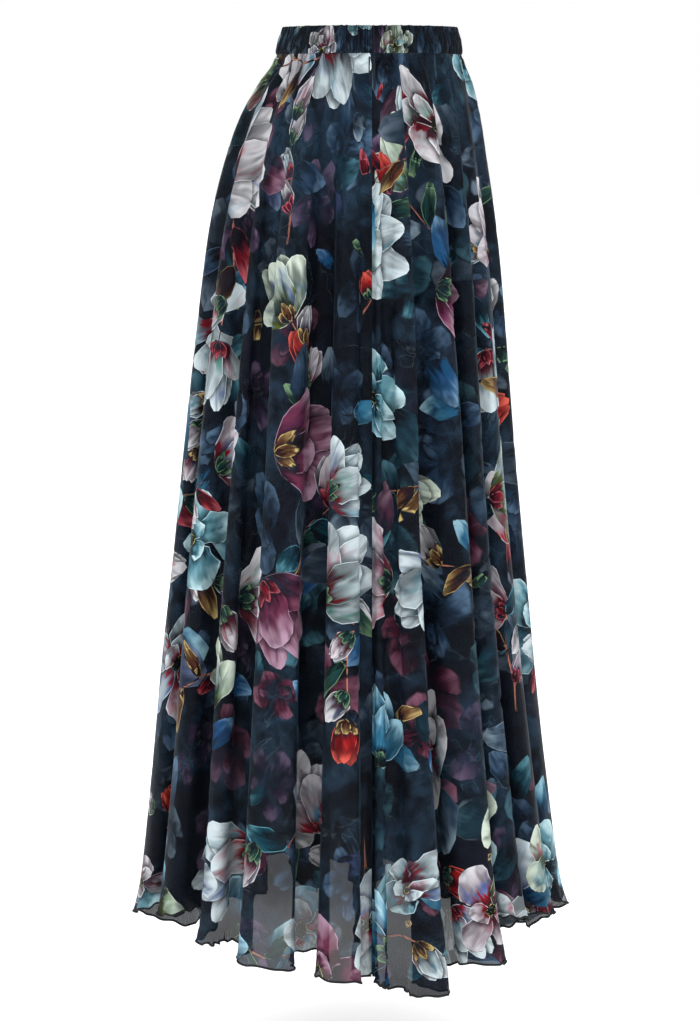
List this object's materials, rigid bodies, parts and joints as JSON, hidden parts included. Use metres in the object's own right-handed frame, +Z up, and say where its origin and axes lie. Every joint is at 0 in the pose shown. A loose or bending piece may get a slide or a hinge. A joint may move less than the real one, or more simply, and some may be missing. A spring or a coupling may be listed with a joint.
{
  "type": "maxi skirt",
  "caption": "Floor-length flared chiffon skirt in its worn form, with gathered elastic waistband, deep soft folds and a shorter straight lining.",
  "frame": {"origin": "middle of the wearer's waist, at half the waistband's height", "axes": "+Z up along the wearer, -Y to the front of the skirt, -X to the wearer's right"},
  "size_m": [0.5516, 0.4794, 1.0076],
  "materials": {
    "band": "printed chiffon, doubled and shirred over elastic",
    "chiffon": "sheer chiffon, dark teal and navy ground with a large flower print, soft low sheen",
    "lining": "plain black woven lining, matte"
  },
  "bodies": {
    "root": {"waistband_front": "band", "waistband_back": "band", "skirt_front": "chiffon", "skirt_back": "chiffon", "lining_front": "lining", "lining_back": "lining"}
  },
  "joints": []
}
